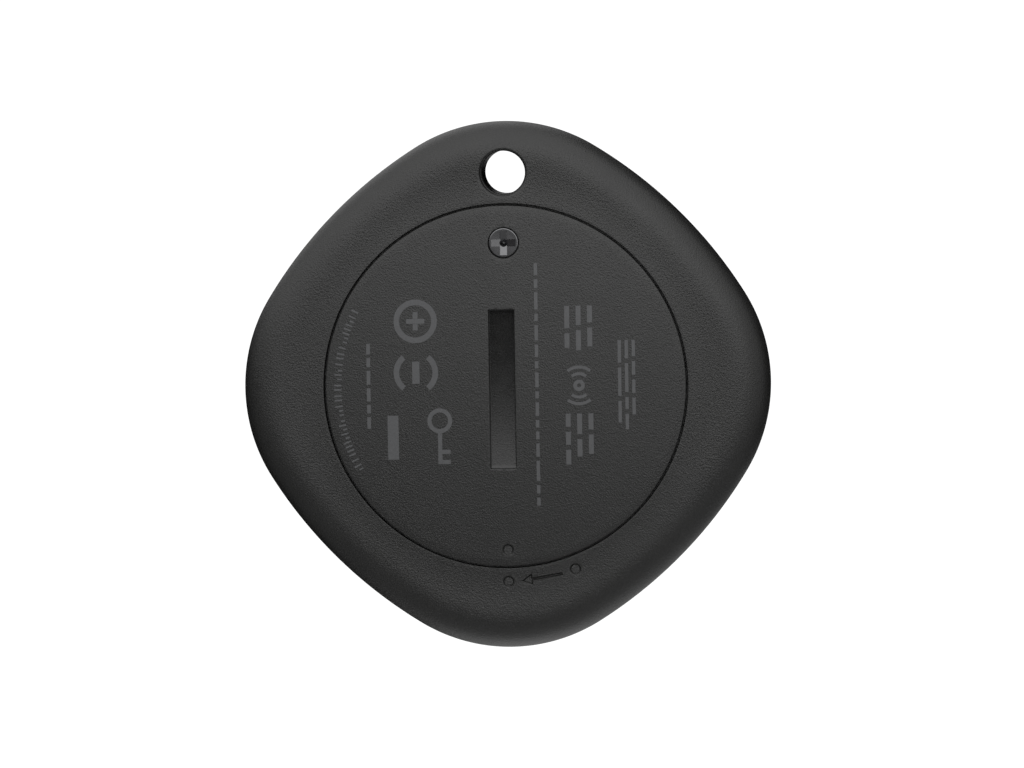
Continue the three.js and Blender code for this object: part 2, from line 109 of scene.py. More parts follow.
N = 288  # points round the outline and the large circles
LIP_ANGLES = (0, 15, 30, 45, 60, 75)  # steps round the lip of a cut, in degrees
LIP_OUT, LIP_UP = 1.15, 0.07  # where a cutter leaves its lip, past and over it, in lip radii
REACH = 1  # how far a cutter runs past the face that it opens
SHORTEST_EDGE = 0.0002  # shorter edges, which joins and cuts can leave, are closed up

# ---- Camera and light --------------------------------------------------------------------------

PHOTO_LENS = 264
PHOTO_DISTANCE = 0.6136  # metres
PHOTO_ASIDE = math.radians(3.0)  # the camera stands a little to the right of the rear face's normal
PHOTO_ABOVE = math.radians(2.5)
PHOTO_ROLL = math.radians(-0.88)
AIM = Vector((0.525, 0.157, 7.3)) * MM


def add_camera():
    data = bpy.data.cameras.new("camera")
    data.lens = PHOTO_LENS
    data.clip_start = 0.01
    data.clip_end = 10
    camera = bpy.data.objects.new("camera", data)
    bpy.context.scene.collection.objects.link(camera)
    back = Vector((math.tan(PHOTO_ASIDE), math.tan(PHOTO_ABOVE), 1)).normalized()
    camera.location = AIM + back * PHOTO_DISTANCE
    right = Vector((0, 1, 0)).cross(back).normalized()
    up = back.cross(right)
    turned = Matrix((right, up, back)).transposed() @ Matrix.Rotation(PHOTO_ROLL, 3, "Z")
    camera.rotation_euler = turned.to_euler()
    bpy.context.scene.camera = camera


class Sky:
    """Builds the studio's brightness as a function of direction."""

    def __init__(self, tree):
        self.tree = tree
        self.direction = self.add("ShaderNodeTexCoord").outputs["Generated"]
        flat = self.vector("MULTIPLY", self.direction, (1, 1, 0))
        self.heading = self.vector("NORMALIZE", flat)
        self.up = self.vector("DOT_PRODUCT", self.direction, (0, 0, 1))

    def add(self, kind, **values):
        node = self.tree.nodes.new(kind)
        for key, value in values.items():
            setattr(node, key, value)
        return node

    def vector(self, operation, a, b=(0, 0, 0)):
        node = self.add("ShaderNodeVectorMath", operation=operation)
        self.tree.links.new(a, node.inputs[0])
        node.inputs[1].default_value = b
        return node.outputs["Value" if operation == "DOT_PRODUCT" else "Vector"]

    def math(self, operation, a, b=0.0):
        node = self.add("ShaderNodeMath", operation=operation)
        for socket, value in zip(node.inputs, (a, b)):
            if isinstance(value, (int, float)):
                socket.default_value = value
            else:
                self.tree.links.new(value, socket)
        return node.outputs[0]

    def towards(self, source, azimuth):
        """How far a direction or a heading points towards an azimuth in degrees from +X."""
        a = math.radians(azimuth)
        return self.vector("DOT_PRODUCT", source, (math.cos(a), math.sin(a), 0))

    def step(self, value, low, high, least=0.0):
        """Rises smoothly from the least value to 1 between low and high; falls where low is above high."""
        node = self.add("ShaderNodeMapRange", interpolation_type="SMOOTHSTEP")
        ends = (low, high, least, 1) if low < high else (high, low, 1, least)
        for key, end in zip(("From Min", "From Max", "To Min", "To Max"), ends):
            node.inputs[key].default_value = end
        self.tree.links.new(value, node.inputs["Value"])
        return node.outputs[0]

    def light(self, level, *factors):
        for factor in factors:
            level = self.math("MULTIPLY", factor, level)
        return level


SOFTBOX_AZIMUTH = 75
WHITE = 1.1  # what the camera sees behind and under the tag


def set_world():
    """A large overhead softbox on the +Y side, low reflectors and fills; the camera itself sees white.

    Azimuths are in degrees from +X. Steps over the sky's height are sines of the elevation.
    """
    world = bpy.data.worlds.new("studio")
    world.use_nodes = True
    bpy.context.scene.world = world
    tree = world.node_tree
    tree.nodes.clear()
    sky = Sky(tree)
    across = sky.towards(sky.direction, SOFTBOX_AZIMUTH - 90)
    lights = [
        sky.light(  # the softbox, brightest overhead and dimmer past its right-hand end
            1.72,
            sky.step(sky.towards(sky.direction, SOFTBOX_AZIMUTH), -0.045, 0.06),
            sky.step(across, 0.62, 0.36, 0.42),
            sky.step(sky.up, -0.6, 0.1),
            sky.step(sky.up, 0.65, 0.97, 0.7),
        ),
        sky.light(  # a reflector low down, on the lanyard hole's side
            0.95,
            sky.step(sky.towards(sky.heading, 115), 0.6, 0.95),
            sky.step(sky.up, -0.2, -0.65),
            sky.step(sky.up, -1.0, -0.7, 0.6),
        ),
        sky.light(  # a reflector at and below the horizon, on the opposite side
            0.75,
            sky.step(sky.towards(sky.heading, 272), 0.78, 0.98),
            sky.step(sky.up, 0.3, -0.2),
            sky.step(sky.up, -1.0, -0.35, 0.2),
        ),
        sky.light(  # a fill on that side, which fades out between 37 and 62 degrees up
            0.4,
            sky.step(sky.towards(sky.heading, 285), 0.6, 0.95),
            sky.step(sky.up, 0.88, 0.6),
        ),
        sky.light(  # a dimmer fill nearer the -X side
            0.13,
            sky.step(sky.towards(sky.heading, 230), 0.5, 0.9),
            sky.step(sky.up, 0.95, 0.7),
            sky.step(sky.up, -0.6, -0.1),
        ),
        sky.light(0.08, sky.step(sky.up, 0.1, 0.8)),  # a little from overhead, all round
    ]
    total = lights[0]
    for light in lights[1:]:
        total = sky.math("ADD", total, light)
    total = sky.light(total, sky.step(sky.up, -0.995, -0.96))  # none from straight below
    studio = sky.add("ShaderNodeBackground")
    tree.links.new(total, studio.inputs["Strength"])
    white = sky.add("ShaderNodeBackground")
    white.inputs["Strength"].default_value = WHITE
    path = sky.add("ShaderNodeLightPath")
    mix = sky.add("ShaderNodeMixShader")
    tree.links.new(path.outputs["Is Camera Ray"], mix.inputs[0])
    tree.links.new(studio.outputs[0], mix.inputs[1])
    tree.links.new(white.outputs[0], mix.inputs[2])
    output = sky.add("ShaderNodeOutputWorld")
    tree.links.new(mix.outputs[0], output.inputs[0])


add_camera()
set_world()
bpy.context.scene.view_settings.view_transform = "Standard"

# ---- Mesh tools --------------------------------------------------------------------------------


def link(name, mesh):
    piece = bpy.data.objects.new(name, mesh)
    bpy.context.scene.collection.objects.link(piece)
    return piece


def mesh_of(name, vertices, faces):
    mesh = bpy.data.meshes.new(name)
    mesh.from_pydata(vertices, [], faces)
    clean = bmesh.new()
    clean.from_mesh(mesh)
    bmesh.ops.recalc_face_normals(clean, faces=clean.faces)
    if clean.calc_volume(signed=True) < 0:
        bmesh.ops.reverse_faces(clean, faces=clean.faces)
    clean.to_mesh(mesh)
    clean.free()
    return mesh


def ring_faces(rings, count, start=0, closed=False):
    """Quads between loops of equal count."""
    faces = []
    for i in range(rings if closed else rings - 1):
        a, b = start + i * count, start + (i + 1) % rings * count
        for j in range(count):
            k = (j + 1) % count
            faces.append((a + j, a + k, b + k, b + j))
    return faces


def solid(name, rings, closed=False, low_strips=False):
    """A closed body through loops of points: it closes on itself, or has caps on its end loops.

    A first cap with low_strips is made of strips between facing points, so that it can be curved one way.
    """
    count = len(rings[0])
    faces = ring_faces(len(rings), count, closed=closed)
    if not closed:
        last = (len(rings) - 1) * count
        if low_strips:
            for j in range(count // 2 - 1):
                faces.append((j, j + 1, count - 2 - j, count - 1 - j))
        else:
            faces.append(tuple(range(count)))
        faces.append(tuple(range(last, last + count)))
    return link(name, mesh_of(name, [p for ring in rings for p in ring], faces))


def combine(target, operation, tools):
    """Joins tools to the target, or cuts it with them, and removes the tools."""
    for tool in tools:
        modifier = target.modifiers.new("combine", "BOOLEAN")
        modifier.operation = operation
        modifier.solver = "EXACT"
        modifier.material_mode = "TRANSFER"
        modifier.object = tool
    shown = target.evaluated_get(bpy.context.evaluated_depsgraph_get())
    mesh = bpy.data.meshes.new_from_object(shown)
    clean = bmesh.new()
    clean.from_mesh(mesh)
    bmesh.ops.dissolve_degenerate(clean, dist=SHORTEST_EDGE, edges=clean.edges)
    clean.to_mesh(mesh)
    clean.free()
    target.modifiers.clear()
    target.data = mesh
    for tool in tools:
        bpy.data.objects.remove(tool)
    return target


def paint(piece, finish):
    piece.data.materials.append(finish)
    return piece


def place(piece, body, slot, finish, *nodes, sharp=32):
    """Makes a drawn body a piece of the tag: metres, smooth shading with crisp edges, finish and body."""
    mesh = piece.data
    mesh.transform(Matrix.Scale(MM, 4))
    for i, held in enumerate(mesh.materials):
        mesh.materials[i] = held or finish
    if not mesh.materials:
        mesh.materials.append(finish)
    mesh.polygons.foreach_set("use_smooth", [True] * len(mesh.polygons))
    mesh.set_sharp_from_angle(angle=math.radians(sharp))
    even = piece.modifiers.new("even_shading", "WEIGHTED_NORMAL")
    even.keep_sharp = True
    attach(piece, body)
    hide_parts(*nodes)
    return piece


# ---- Shared shapes -----------------------------------------------------------------------------


def rear_z(r):
    """Height of the rear face at a distance from the centre: a dome, then a flare out to a flat rim."""
    out = min(max(r - DOME_R, 0), DOME_FLARE)
    dome = DOME_SLOPE * min(r, DOME_R) ** 2 / (2 * DOME_R)
    return THICKNESS - dome - DOME_SLOPE * (out - out**2 / (2 * DOME_FLARE))


RIM_Z = rear_z(DOME_R + DOME_FLARE)

CORNER_AT = HALF_SPAN - CORNER_R
BULGE = HALF_WIDTH - CORNER_R
SIDE_AT = (CORNER_AT**2 - BULGE**2) / (2 * BULGE - math.sqrt(2) * CORNER_AT)
SIDE_R = HALF_WIDTH + SIDE_AT
SIDE_OFFSET = SIDE_AT / math.sqrt(2)
CORNER_HALF = math.atan2(SIDE_OFFSET, CORNER_AT + SIDE_OFFSET)


def outline_point(angle, inset):
    """The outline's point whose outward normal has this angle, moved inwards by inset."""
    quarter = math.floor(angle / (math.pi / 2))
    local = angle - quarter * math.pi / 2
    x, y, r = -SIDE_OFFSET, -SIDE_OFFSET, SIDE_R
    if local < CORNER_HALF:
        x, y, r = CORNER_AT, 0, CORNER_R
    elif local > math.pi / 2 - CORNER_HALF:
        x, y, r = 0, CORNER_AT, CORNER_R
    x += (r - inset) * math.cos(local)
    y += (r - inset) * math.sin(local)
    c, s = math.cos(quarter * math.pi / 2), math.sin(quarter * math.pi / 2)
    return x * c - y * s, x * s + y * c


def outline(inset, z):
    """A section of the housing, at the height z or at z(distance from the centre)."""
    ring = []
    for i in range(N):
        x, y = outline_point(2 * math.pi * i / N, inset)
        ring.append((x, y, z(math.hypot(x, y)) if callable(z) else z))
    return ring


def circle(r, z, x=0, y=0, count=N):
    turns = [2 * math.pi * i / count for i in range(count)]
    return [(x + r * math.cos(a), y + r * math.sin(a), z) for a in turns]


def lathe(name, profile, x=0, y=0, count=N, closed=False):
    """A profile of (radius, z) turned about Z. Its ends, unless it closes on itself, become flat caps."""
    return solid(name, [circle(r, z, x, y, count) for r, z in profile], closed=closed)


def fillet(corner, before, after, r):
    """Points of an arc of radius about r that rounds the corner of a polyline."""
    steps = 4
    to_chord = 0.17  # how far a curve goes towards its chord, so that a square corner gets a true arc
    c, b, a = Vector(corner), Vector(before), Vector(after)
    to_before, to_after = (b - c).normalized(), (a - c).normalized()
    start, end = c + to_before * r, c + to_after * r
    points = []
    for i in range(steps + 1):
        t = i / steps
        bend = start.lerp(c, t).lerp(c.lerp(end, t), t)
        line = start.lerp(end, t)
        points.append(tuple(bend.lerp(line, to_chord * 4 * t * (1 - t))))
    return points


def rounded(profile):
    """A profile whose points are (r, z) or (r, z, corner radius), with those corners rounded."""
    points = []
    for i, point in enumerate(profile):
        if len(point) == 2:
            points.append(point)
        else:
            points += fillet(point[:2], profile[i - 1][:2], profile[i + 1][:2], point[2])
    return points


def sector(inner, outer, start, end, floor, roof):
    """A ring sector between two angles in degrees; its roof or floor may climb with the angle."""
    degrees_a_step = 1.5
    steps = max(2, math.ceil((end - start) / degrees_a_step))
    rings = []
    for i in range(steps + 1):
        degrees = start + (end - start) * i / steps
        c, s = math.cos(math.radians(degrees)), math.sin(math.radians(degrees))
        low = floor(degrees) if callable(floor) else floor
        high = roof(degrees) if callable(roof) else roof
        section = ((inner, low), (inner, high), (outer, high), (outer, low))
        rings.append([(r * c, r * s, z) for r, z in section])
    return solid("sector", rings)


def climb(angle, low):
    """The height of a bayonet slope by angle in degrees; it is low where the lug at this angle starts."""
    return lambda degrees: low + RISE / TURN * (degrees - angle + LUG_HALF)


def edge_rows(count):
    """The rounded edge from silhouette to face as (inset, share of the height), denser where it bends."""
    fine_steps, bend_weight = 1200, 4
    fine = []
    for i in range(fine_steps + 1):
        angle = math.pi / 2 * i / fine_steps
        run = max(math.cos(angle), 0) ** (2 / EDGE_POWER)
        fine.append(Vector((EDGE_INSET * (1 - run), EDGE_HEIGHT * math.sin(angle) ** (2 / EDGE_POWER))))
    travelled = [0.0]
    for i in range(1, len(fine)):
        step = fine[i] - fine[i - 1]
        bend = step.angle(fine[i - 1] - fine[i - 2], 0) if i > 1 else 0
        travelled.append(travelled[-1] + step.length + bend_weight * bend)
    rows = []
    at = 0
    for i in range(count + 1):
        wanted = travelled[-1] * i / count
        while travelled[at] < wanted - 1e-9 and at < len(fine) - 1:
            at += 1
        rows.append((fine[at].x, fine[at].y / EDGE_HEIGHT))
    return rows


def surface(x, y):
    """Height of the rear face and of the rounded edge near the +Y corner."""
    r = math.hypot(x, y)
    inset = CORNER_R - math.hypot(x, y - CORNER_AT) if y > CORNER_AT else EDGE_INSET
    if inset >= EDGE_INSET:
        return rear_z(r)
    run = 1 - max(inset, 0) / EDGE_INSET
    share = (1 - run**EDGE_POWER) ** (1 / EDGE_POWER)
    return REAR_SEAM + (rear_z(r) - REAR_SEAM) * share


def offset(points, distance):
    """A closed outline given anticlockwise, moved outwards."""
    least_share = 0.3  # keeps the mitre of a sharp corner short
    moved = []
    for i, (x, y) in enumerate(points):
        before = Vector((x, y)) - Vector(points[i - 1])
        after = Vector(points[(i + 1) % len(points)]) - Vector((x, y))
        if before.length < 1e-9 or after.length < 1e-9:
            raise ValueError("an outline repeats a point")
        n1 = Vector((before.y, -before.x)).normalized()
        n2 = Vector((after.y, -after.x)).normalized()
        middle = (n1 + n2).normalized()
        reach = distance / max(middle.dot(n1), least_share)
        moved.append((x + middle.x * reach, y + middle.y * reach))
    return moved


def arc_steps(r, angles):
    """Points of a quarter round of radius r, each as (distance past its wall, distance to its face)."""
    turns = [math.radians(angle) for angle in angles]
    return [(r * (1 - math.cos(a)), r * (1 - math.sin(a))) for a in turns]


def pocket(points, floor, lip, foot=0.0, draft=0.0, strips=False):
    """A cutter with this outline and floor, whose lip is rounded where it meets the rear face.

    Its foot is rounded by a radius, or its walls lean in by a draft, or it is square.
    """
    rows = []
    if foot:
        for up, inside in arc_steps(foot, (0, 30, 60, 90)):
            rows.append([(x, y, floor(x, y) + up) for x, y in offset(points, -inside)])
    else:
        rows.append([(x, y, floor(x, y)) for x, y in (offset(points, -draft) if draft else points)])
    for out, below in arc_steps(lip, LIP_ANGLES):
        rows.append([(x, y, surface(x, y) - below) for x, y in offset(points, out)])
    over = offset(points, lip * LIP_OUT)
    rows.append([(x, y, surface(x, y) + lip * LIP_UP) for x, y in over])
    rows.append([(x, y, THICKNESS + REACH) for x, y in over])
    return solid("pocket", rows, low_strips=strips)


def disc_points(r, x, y, count):
    return [(px, py) for px, py, _ in circle(r, 0, x, y, count)]


def post(r, z0, z1, x=0, y=0, count=48):
    return lathe("post", [(r, z0), (r, z1)], x, y, count)


def mark_dot(r, degrees):
    x, y = r * math.cos(math.radians(degrees)), r * math.sin(math.radians(degrees))
    low = rear_z(r) - MARK_DEPTH
    return pocket(disc_points(DOT_R, x, y, 48), lambda px, py: low, lip=0.03, draft=0.11)


# ---- Housing -----------------------------------------------------------------------------------


def rear_shell():
    seam_round, lip, face_rings = 0.12, 0.05, 10
    rings = []
    for inset, up in ((seam_round, 0), (seam_round * 0.3, seam_round * 0.3), (0, seam_round)):
        rings.append(outline(inset, REAR_SEAM + up))
    for inset, share in edge_rows(34)[1:]:
        if share * (RIM_Z - REAR_SEAM) > seam_round * 1.5:
            rings.append(outline(inset, lambda r, s=share: REAR_SEAM + (rear_z(r) - REAR_SEAM) * s))
    inner, outer = circle(OPENING_R + lip, 0), outline(EDGE_INSET, 0)
    for i in range(1, face_rings + 1):
        ring = []
        for (ax, ay, _), (bx, by, _) in zip(outer, inner):
            x, y = ax + (bx - ax) * i / face_rings, ay + (by - ay) * i / face_rings
            ring.append((x, y, rear_z(math.hypot(x, y))))
        rings.append(ring)
    top = rear_z(OPENING_R)
    rings += [circle(OPENING_R + out, top - below) for out, below in arc_steps(lip, (60, 30, 0))]
    seat = UNDERSIDE - 0.05
    neck_low = SKIRT_Z - 0.15
    ceiling = RIM_Z - SKIN
    inside = rounded([
        (OPENING_R, top - 0.3),
        (OPENING_R, seat, 0.05),
        (BORE_R, seat, 0.08),
        (BORE_R, neck_low, 0.08),
        (NECK_R, neck_low, 0.1),
        (NECK_R, ceiling - 0.3),
    ])
    rings += [circle(r, z) for r, z in inside[1:]]
    rings.append(circle(NECK_R, ceiling))
    roof = [(4.6, ceiling), (3.2, ceiling - 0.07), (2.2, 5.5), (1.75, 4.9), (1.7, 4.46)]
    rings += [outline(inset, z) for inset, z in roof + [(WALL, 4.45), (WALL, REAR_SEAM)]]
    shell = solid("rear_shell_moulding", rings, closed=True)
    added = [post(3.1, 4.5, 6.3, 0, HOLE_Y, 96)]
    for angle in LUG_ANGLES:
        added += bayonet_ledge(angle)
    combine(shell, "UNION", added)
    cuts = [lanyard_cutter(), post(TUBE_OUT + 0.05, REAR_SEAM - REACH, TUBE_TOP + 0.05, 0, HOLE_Y, 96)]
    cuts += [mark_dot(MARK_R, -90), mark_dot(MARK_R, -90 + TURN), arrow_cutter()]
    return combine(shell, "DIFFERENCE", cuts)


def bayonet_ledge(angle):
    """The roof over one lug, which climbs, and its stops at both ends."""
    root = BORE_R + 0.3
    play = 0.3  # degrees past the lug
    start, notch = angle - LUG_HALF - play, angle + TURN - LUG_HALF - play
    notch_end = angle + TURN + LUG_HALF + play
    return [
        sector(LEDGE_IN, root, start, notch, climb(angle, LEDGE_TOP - LEDGE_THICK), LEDGE_TOP),
        sector(LEDGE_IN - 0.01, root + 0.01, start - 2.5, start + 0.01, SKIRT_Z, LEDGE_TOP + 0.01),
        sector(LEDGE_IN, root, notch_end, notch_end + 2.2, SKIRT_Z, LEDGE_TOP),
    ]


def lanyard_cutter():
    return pocket(disc_points(HOLE_R, 0, HOLE_Y, 120), lambda x, y: REAR_SEAM - REACH, lip=0.16)


def arrow_cutter():
    """The engraved arrow, which runs from the open mark to the locked mark."""
    head, length, half, wing = 0.9, 3.4, 0.12, 0.46
    tip, lean = math.radians(-86.2), math.radians(9.5)
    lower = [(head, -wing), (head, -half), (length, -half)]
    flat = [(0, 0)] + lower + [(x, -y) for x, y in reversed(lower)]
    points = []
    for x, y in flat:
        points.append((
            MARK_R * math.cos(tip) + x * math.cos(lean) - y * math.sin(lean),
            MARK_R * math.sin(tip) + x * math.sin(lean) + y * math.cos(lean),
        ))
    low = rear_z(MARK_R) - MARK_DEPTH
    return pocket(points, lambda x, y: low, lip=0.02, draft=0.1)


def front_shell():
    seam_round = 0.12
    rows = [(inset, FRONT_SEAM * (1 - share)) for inset, share in reversed(edge_rows(30))]
    rings = [outline(inset, z) for inset, z in rows if z < FRONT_SEAM - seam_round * 1.5]
    tongue = rounded([
        (0, FRONT_SEAM - seam_round * 1.2),
        (0, FRONT_SEAM, seam_round),
        (1, FRONT_SEAM, 0.05),
        (1, 4.4, 0.1),
        (1.7, 4.4, 0.1),
        (1.7, 3.1),
    ])
    inside = [(1.75, 2.7), (2.3, 2), (3.4, 1.4), (4.8, SKIN)]
    rings += [outline(inset, z) for inset, z in tongue + inside]
    shell = solid("front_shell_moulding", rings)
    tube = [(TUBE_OUT, 1), (TUBE_OUT, TUBE_TOP - 0.08), (TUBE_OUT - 0.08, TUBE_TOP)]
    rib = [(8.1, 1), (8.7, 1), (8.7, 1.6), (8.1, 1.6)]
    added = [lathe("tube", tube, 0, HOLE_Y, 96), lathe("rib", rib, closed=True)]
    added += [post(1.5, 1, BOARD_REST, x, y) for x, y in EARS]
    added += [post(0.8, 1, BOARD_REST, x, y) for x in (11.5, -11.5) for y in (11.5, -11.5)]
    combine(shell, "UNION", added)
    cuts = [post(0.62, 1.3, BOARD_REST + REACH, x, y) for x, y in EARS]
    lip, rim = 0.15, 0.12
    bore = [(TUBE_R + lip * LIP_OUT, -REACH), (TUBE_R + lip * LIP_OUT, -lip * LIP_UP)]
    bore += [(TUBE_R + out, below) for out, below in arc_steps(lip, reversed(LIP_ANGLES))]
    bore += [(TUBE_R + out, TUBE_TOP - below) for out, below in arc_steps(rim, (0, 20, 40, 60, 75))]
    bore += [(TUBE_R + rim * LIP_OUT, TUBE_TOP + up) for up in (rim * LIP_UP, REACH)]
    cuts.append(lathe("bore", bore, 0, HOLE_Y, 120))
    return combine(shell, "DIFFERENCE", cuts)


# ---- Battery cover and its screw ---------------------------------------------------------------


# smooth is the coin slot's polished finish, whose darker colour is painted shade in the recess
def battery_cover(textured, smooth):
    edge = 0.06
    face = [(r / 2, rear_z(r / 2)) for r in range(1, 29)]
    turned = rounded([
        face[-1],
        (COVER_R, rear_z(COVER_R), edge),
        (COVER_R, UNDERSIDE, 0.08),
        (SKIRT_OUT, UNDERSIDE, 0.05),
        (SKIRT_OUT, SKIRT_Z, 0.12),
        (SKIRT_IN, SKIRT_Z, 0.12),
        (SKIRT_IN, UNDERSIDE, 0.3),
        (1, UNDERSIDE),
    ])
    cover = paint(lathe("battery_cover_moulding", face[:-1] + turned), textured)
    lugs = []
    for angle in LUG_ANGLES:
        roof = climb(angle, LEDGE_TOP - LEDGE_THICK - LUG_PLAY)
        ends = (angle - LUG_HALF, angle + LUG_HALF)
        lugs.append(sector(SKIRT_OUT - 0.2, LUG_OUT, *ends, SKIRT_Z + 0.15, roof))
    combine(cover, "UNION", lugs)
    seat = pocket(disc_points(HEAD_R + 0.08, SCREW_X, SCREW_Y, 96), lambda x, y: HEAD_Z - 0.03, lip=0.03)
    clearance = post(SHANK_R + 0.08, UNDERSIDE - REACH, THICKNESS, SCREW_X, SCREW_Y)
    # the coin slot's walls and floor take the polished finish, whose darker colour is painted shade
    cuts = [seat, clearance, paint(coin_slot(), smooth), mark_dot(COVER_MARK_R, -90)]
    return combine(cover, "DIFFERENCE", cuts)


def coin_slot():
    """A coin-shaped groove along Y: an arc floor between square ends."""
    half, steps = SLOT_L / 2, 40
    lowest = THICKNESS - SLOT_DEPTH
    dip = rear_z(half) - SLOT_END_DEPTH - lowest
    r = (half**2 + dip**2) / (2 * dip)
    side = [SLOT_Y + SLOT_L * i / steps - half for i in range(steps + 1)]
    points = [(SLOT_X + SLOT_W / 2, y) for y in side] + [(SLOT_X - SLOT_W / 2, y) for y in reversed(side)]

    def floor(x, y):
        return lowest + r - math.sqrt(r**2 - min(abs(y - SLOT_Y), half) ** 2)

    return pocket(points, floor, lip=0.05, foot=0.08, strips=True)


def threaded_shank(name, r, depth, pitch, tip, z0, z1):
    """A threaded shank from its tip at z0 up to z1: the crest winds up at one pitch a turn."""
    count, rings_per_pitch = 40, 10
    blunt = 0.25  # how much of the tapered tip is left off
    steps = round((z1 - z0) / (pitch / rings_per_pitch))
    rings = []
    for i in range(steps + 1):
        z = z0 + (z1 - z0) * i / steps
        taper = min(1, (blunt + (z - z0)) / tip)
        run_out = min(1, max(0, (z1 - z) / pitch - 0.5))
        ring = []
        for j in range(count):
            phase = (z / pitch - j / count) % 1
            cut = depth * (0.5 + 0.5 * math.cos(2 * math.pi * phase)) ** 0.7
            a = 2 * math.pi * j / count
            here = max(0.1, (r - cut * run_out) * taper)
            ring.append((here * math.cos(a), here * math.sin(a), z))
        rings.append(ring)
    return solid(name, rings)


def cover_screw():
    edge, overlap = 0.04, 0.05
    screw = threaded_shank(
        "cover_screw_turned", SHANK_R, depth=0.13, pitch=0.4, tip=0.6, z0=SCREW_LOW.z, z1=HEAD_Z + overlap
    )
    head = lathe("head", rounded([
        (0.3, HEAD_Z),
        (HEAD_R, HEAD_Z, 0.05),
        (HEAD_R, HEAD_TOP, edge),
        (HEAD_R - 2 * edge, HEAD_TOP),
        (0.3, HEAD_TOP),
    ]), count=120)
    combine(screw, "UNION", [head])
    recess = cross_recess(HEAD_TOP, reach=1, half_width=0.29, end_depth=0.12, middle_depth=0.46)
    combine(screw, "DIFFERENCE", recess)
    screw.data.transform(Matrix.Translation((SCREW_X, SCREW_Y, 0)))
    return screw


def cross_recess(top, reach, half_width, end_depth, middle_depth):
    """A cross whose four floors slope down to the middle, and a cone there, as cutters."""
    lift = 0.2
    inner_depth = middle_depth - (middle_depth - end_depth) * half_width / reach
    arm = [
        (half_width, -half_width, inner_depth),
        (reach, -half_width, end_depth),
        (reach, half_width, end_depth),
    ]
    plan = []
    for c, s in ((1, 0), (0, 1), (-1, 0), (0, -1)):
        plan += [(x * c - y * s, x * s + y * c, depth) for x, y, depth in arm]
    count = len(plan)
    vertices = [(x, y, top - depth) for x, y, depth in plan] + [(x, y, top + lift) for x, y, _ in plan]
    middle = len(vertices)
    vertices.append((0, 0, top - middle_depth))
    faces = ring_faces(2, count) + [tuple(range(count, 2 * count))]
    faces += [(i, i + 1, i + 2, (i + 3) % count, middle) for i in range(0, count, 3)]
    tip_r, tip_depth, cone_r = 0.08, 0.76, 0.34
    cone = [(tip_r, top - tip_depth), (cone_r, top - inner_depth + 0.02), (cone_r, top + lift)]
    return [link("cross", mesh_of("cross", vertices, faces)), lathe("cone", cone, count=32)]


# ---- Print on the cover ------------------------------------------------------------------------

INK_TOP, INK_LOW = 0.008, 0.02  # how far the ink stands above and reaches below the face


def stroke(points, width, closed=False):
    """One inked line of constant width along points on the cover, as vertices and faces."""
    half = width / 2
    rings = []
    count = len(points)
    for i, (x, y) in enumerate(points):
        before = points[i - 1] if closed or i else points[0]
        after = points[(i + 1) % count] if closed or i < count - 1 else points[-1]
        along = (Vector(after) - Vector(before)).normalized()
        ring = []
        for side, up in ((half, -INK_LOW), (half, INK_TOP), (-half, INK_TOP), (-half, -INK_LOW)):
            px, py = x - along.y * side, y + along.x * side
            ring.append((px, py, rear_z(math.hypot(px, py)) + up))
        rings.append(ring)
    faces = ring_faces(len(rings), 4, closed=closed)
    if not closed:
        last = 4 * (len(rings) - 1)
        faces += [(0, 1, 2, 3), (last, last + 1, last + 2, last + 3)]
    return [p for ring in rings for p in ring], faces


def arc_points(x, y, r, start, end, count):
    angles = [math.radians(start + (end - start) * i / count) for i in range(count + 1)]
    return [(x + r * math.cos(a), y + r * math.sin(a)) for a in angles]


def straight(x0, y0, x1, y1):
    """Points along a line, close enough together to follow the dome."""
    longest = 0.6
    steps = max(1, math.ceil(math.hypot(x1 - x0, y1 - y0) / longest))
    return [(x0 + (x1 - x0) * i / steps, y0 + (y1 - y0) * i / steps) for i in range(steps + 1)]


def dashes(x, y_top, y_low, width, shortest, longest, gap, rng):
    """A row of dashes of uneven length down the cover."""
    rows = []
    y = y_top
    while y - shortest > y_low:
        length = min(rng.uniform(shortest, longest), y - y_low)
        rows.append(stroke(straight(x, y, x, y - length), width))
        y -= length + gap
    return rows


def ring_stroke(x, y, r, width):
    return stroke(arc_points(x, y, r, 0, 360, 48)[:-1], width, closed=True)


def cover_print():
    """Generic marks where the cover is printed: dash rows, a beacon, a cell, a coin turn and a key."""
    rng = random.Random(7)
    marks = []
    marks += dashes(2.6, 10, -9.8, 0.28, 0.5, 1.9, 0.34, rng)
    for x in (9.35, 9.92, 10.49):
        marks += dashes(x, 3.65, -3.65, 0.27, 0.9, 2.4, 0.4, rng)
    for y_top, y_low in ((6.5, 2.3), (-2.3, -6.5)):
        for x in (5.1, 6.03, 6.96):
            marks += dashes(x, y_top, y_low, 0.4, 1, 2, 0.42, rng)
    marks += beacon(6.03, 0)
    marks += cell_mark(-7.3, 5.4)
    marks += coin_turn_mark(-7.3, 1.2)
    marks += key_mark(-5.4, -4.1)
    marks.append(stroke(straight(-9.24, -2.3, -9.24, -5.9), 0.9))
    marks += dashes(-11.2, 3.6, -4, 0.3, 0.5, 1.3, 0.3, rng)
    marks += edge_bars(153, 210, rng)
    vertices, faces = [], []
    for points, quads in marks:
        faces += [tuple(len(vertices) + i for i in quad) for quad in quads]
        vertices += points
    return link("cover_print", mesh_of("cover_print", vertices, faces))


def edge_bars(start, end, rng):
    """Fine bars along the cover's edge between two angles in degrees, unevenly long and spaced."""
    marks = []
    degrees = start
    while degrees < end:
        step = rng.choice((1.5, 1.5, 2.1))
        a = math.radians(degrees)
        inner, outer = 13.45, rng.choice((13.8, 14.05))
        marks.append(stroke([(r * math.cos(a), r * math.sin(a)) for r in (inner, outer)], 0.13))
        degrees += step
    return marks


